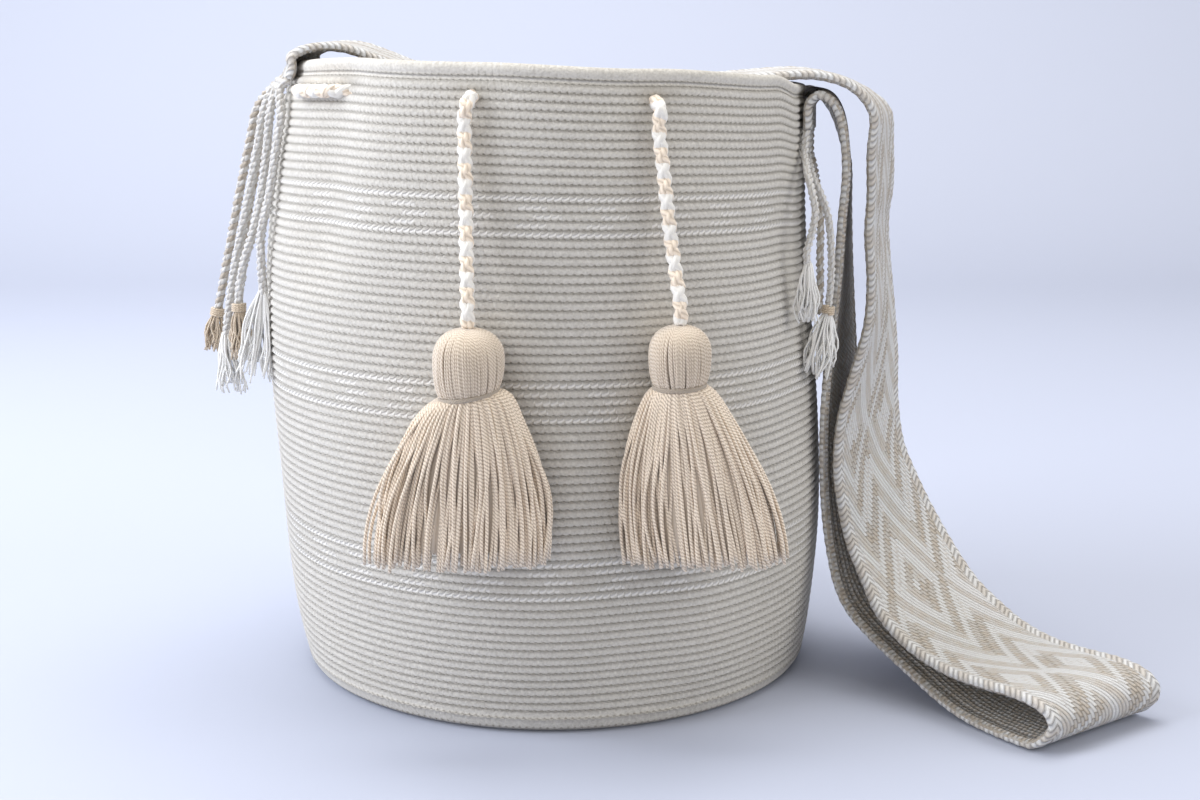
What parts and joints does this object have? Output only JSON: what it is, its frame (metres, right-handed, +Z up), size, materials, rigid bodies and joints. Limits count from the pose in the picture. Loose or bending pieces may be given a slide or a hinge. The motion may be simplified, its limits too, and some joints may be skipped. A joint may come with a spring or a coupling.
{
  "type": "drawstring bucket bag",
  "caption": "Crocheted cream bucket bag with a braided drawstring, beige yarn tassels and a wide woven shoulder strap, standing on its round base.",
  "frame": {"origin": "centre of the underside of the round base", "axes": "+Z up out of the mouth, -Y the front with the tassels, +X the side where the strap lies on the ground"},
  "size_m": [0.4578, 0.3045, 0.3082],
  "materials": {
    "cream_cotton": "single crochet rows of twisted cotton",
    "beige_yarn": "twisted two-ply cotton yarn",
    "cream_yarn": "woven and plaited cotton",
    "taupe_yarn": "plaited cotton",
    "tan_thread": "waxed cotton thread"
  },
  "bodies": {
    "root": {"crocheted_body": "cream_cotton", "drawstring": "beige_yarn", "tassel_left": "beige_yarn", "tassel_right": "beige_yarn", "tassel_tie_left": "beige_yarn", "tassel_tie_right": "beige_yarn", "shoulder_strap": "cream_yarn", "fringe_left_1": "cream_yarn", "fringe_left_2": "cream_yarn", "fringe_left_3": "taupe_yarn", "fringe_left_4": "cream_yarn", "fringe_left_5": "cream_yarn", "fringe_right_1": "cream_yarn", "fringe_right_2": "cream_yarn", "fringe_right_3": "taupe_yarn", "fringe_tuft_left_1": "tan_thread", "fringe_tuft_left_2": "cream_yarn", "fringe_tuft_left_4": "tan_thread", "fringe_tuft_left_5": "cream_yarn", "fringe_tuft_right_1": "cream_yarn", "fringe_tuft_right_2": "cream_yarn", "fringe_tie_left_1": "tan_thread", "fringe_tie_left_4": "tan_thread", "fringe_tie_right_1": "tan_thread"}
  },
  "joints": []
}
